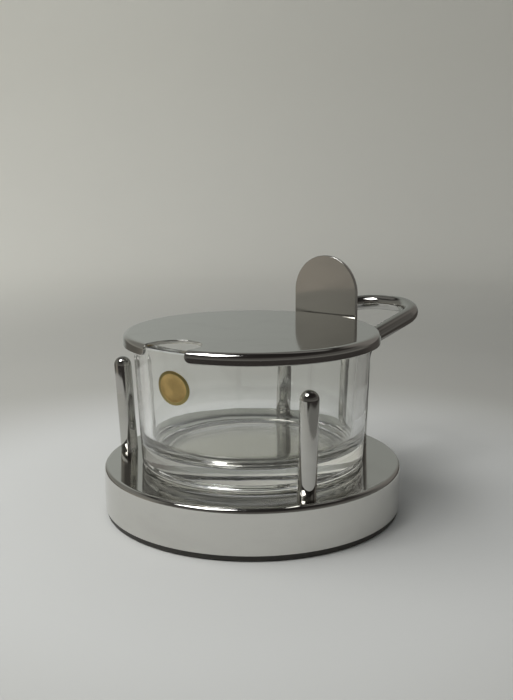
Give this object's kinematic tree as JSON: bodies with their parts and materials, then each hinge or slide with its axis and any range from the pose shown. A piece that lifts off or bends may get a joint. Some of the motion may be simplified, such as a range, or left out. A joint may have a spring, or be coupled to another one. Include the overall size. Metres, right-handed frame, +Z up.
{
  "type": "honey pot",
  "caption": "Glass table pot on a round polished steel tray, held between front posts and the legs of a bent rod handle, under a hinged steel lid with a spoon notch and a thumb tab.",
  "frame": {"origin": "centre of the underside of the foot pad, on the table", "axes": "+Z up; +Y towards the end of the handle; -Y through the spoon notch; +X to the right as seen from the notch"},
  "size_m": [0.105, 0.1467, 0.086],
  "materials": {
    "polished_steel": "mirror polished stainless steel",
    "pot_glass": "clear pressed glass, fire polished",
    "pad_black": "fine satin moulded plastic",
    "fixing_steel": "plain turned steel"
  },
  "bodies": {
    "stand": {"foot_pad": "pad_black", "tray": "polished_steel", "front_post_left": "polished_steel", "front_post_right": "polished_steel", "handle_rod": "polished_steel", "rod_screws": "fixing_steel", "screw_washers": "fixing_steel", "glass_pot": "pot_glass", "hinge_pin": "fixing_steel"},
    "lid": {"lid": "polished_steel", "thumb_tab": "polished_steel"}
  },
  "joints": [
    {"name": "lid_hinge", "type": "hinge", "parent": "stand", "child": "lid", "pos_m": [0, 0.0473, 0.0536], "axis": [-1, 0, 0], "range_deg": [0, 88]}
  ]
}
